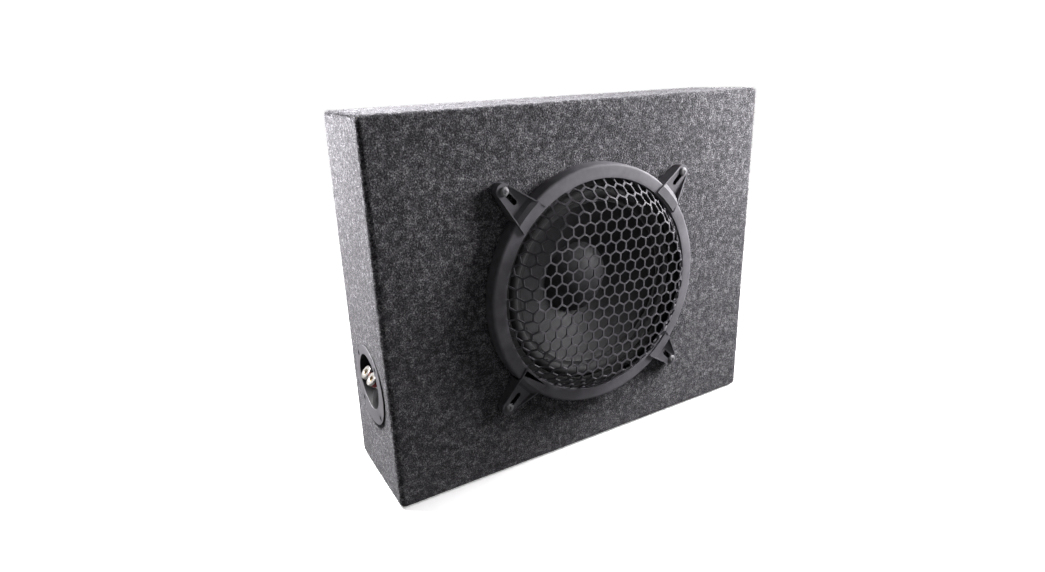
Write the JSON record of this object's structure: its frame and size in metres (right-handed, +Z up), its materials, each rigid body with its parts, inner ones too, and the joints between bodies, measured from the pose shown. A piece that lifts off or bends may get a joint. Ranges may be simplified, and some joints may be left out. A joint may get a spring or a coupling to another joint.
{
  "type": "car subwoofer enclosure",
  "caption": "Wedge-shaped carpeted sealed box with a shallow round bass driver behind a domed hexagonal mesh grille, and a recessed terminal cup with binding posts on one side.",
  "frame": {"origin": "centre of the base on the floor, on the middle plane between the two sides", "axes": "+Z up, -Y out of the baffle towards the listener, +X towards the side without the terminal cup"},
  "size_m": [0.5056, 0.1734, 0.404],
  "materials": {
    "fibreboard": "raw medium density fibreboard",
    "carpet": "heather charcoal needle-punched carpet",
    "wadding": "loose polyester wadding",
    "ring_plastic": "satin black moulding",
    "mesh_paint": "satin black powder coat",
    "clamp_plastic": "satin black moulding",
    "screw_steel": "black oxide",
    "gasket_foam": "closed-cell foam",
    "basket_paint": "black paint",
    "black_steel": "black zinc",
    "surround_rubber": "matt",
    "cone_skin": "smooth moulded",
    "cap_skin": "smooth moulded",
    "former": "heat-proof film",
    "copper": "enamelled copper",
    "spider_cloth": "resin-dipped cotton",
    "zinc_steel": "zinc plate",
    "ferrite": "ground ceramic",
    "strip_board": "phenolic board",
    "tab_brass": "tinned brass",
    "cup_plastic": "satin moulding",
    "post_brass": "gold flash",
    "knob_plating": "pale satin plating",
    "red_plastic": "gloss",
    "black_plastic": "gloss",
    "red_pvc": "soft PVC",
    "black_pvc": "soft PVC"
  },
  "bodies": {
    "enclosure": {"front_panel": "fibreboard", "back_panel": "fibreboard", "top_panel": "fibreboard", "bottom_panel": "fibreboard", "left_panel": "fibreboard", "right_panel": "fibreboard", "carpet_front": "carpet", "carpet_back": "carpet", "carpet_top": "carpet", "carpet_base": "carpet", "carpet_left": "carpet", "carpet_right": "carpet", "acoustic_wadding": "wadding", "grille_ring": "ring_plastic", "grille_mesh": "mesh_paint", "mesh_shoulder": "mesh_paint", "clamp_upper_right": "clamp_plastic", "clamp_upper_left": "clamp_plastic", "clamp_lower_left": "clamp_plastic", "clamp_lower_right": "clamp_plastic", "clamp_screws": "screw_steel", "flange_gasket": "gasket_foam", "basket": "basket_paint", "front_gasket": "gasket_foam", "driver_screws": "black_steel", "surround": "surround_rubber", "spider": "spider_cloth", "top_plate": "zinc_steel", "magnet": "ferrite", "pole_yoke": "zinc_steel", "terminal_strip": "strip_board", "strip_tabs": "tab_brass", "tinsel_leads": "copper", "terminal_cup": "cup_plastic", "cup_gasket": "gasket_foam", "cup_screws": "black_steel", "red_post_stud": "post_brass", "black_post_stud": "post_brass", "post_nuts": "zinc_steel", "post_lugs": "tab_brass", "red_wire": "red_pvc", "black_wire": "black_pvc"},
    "cone_assembly": {"cone": "cone_skin", "dust_cap": "cap_skin", "voice_coil_former": "former", "voice_coil": "copper"},
    "red_washer": {"red_post_washer": "post_brass"},
    "red_knob": {"red_post_knob": "knob_plating", "red_post_band": "red_plastic"},
    "black_washer": {"black_post_washer": "post_brass"},
    "black_knob": {"black_post_knob": "knob_plating", "black_post_band": "black_plastic"}
  },
  "joints": [
    {"name": "cone_travel", "type": "slide", "parent": "enclosure", "child": "cone_assembly", "axis": [0, -1, 0], "range_m": [-0.008, 0.008], "stiffness_N_per_m": 4000, "deforming": ["surround", "spider", "tinsel_leads"]},
    {"name": "red_washer_travel", "type": "slide", "parent": "enclosure", "child": "red_washer", "axis": [-0.7547, 0, 0.6561], "range_m": [0, 0.005]},
    {"name": "red_knob_turn", "type": "hinge", "parent": "red_washer", "child": "red_knob", "pos_m": [-0.24194, -0.0155, 0.12563], "axis": [-0.7547, 0, 0.6561], "range_deg": [0, 1800]},
    {"name": "black_washer_travel", "type": "slide", "parent": "enclosure", "child": "black_washer", "axis": [-0.7547, 0, 0.6561], "range_m": [0, 0.005]},
    {"name": "black_knob_turn", "type": "hinge", "parent": "black_washer", "child": "black_knob", "pos_m": [-0.24194, 0.0035, 0.12563], "axis": [-0.7547, 0, 0.6561], "range_deg": [0, 1800]}
  ],
  "couplings": [
    {"joint": "red_knob_turn", "follows": "red_washer_travel", "rad_per_m": 6283.2},
    {"joint": "black_knob_turn", "follows": "black_washer_travel", "rad_per_m": 6283.2}
  ]
}
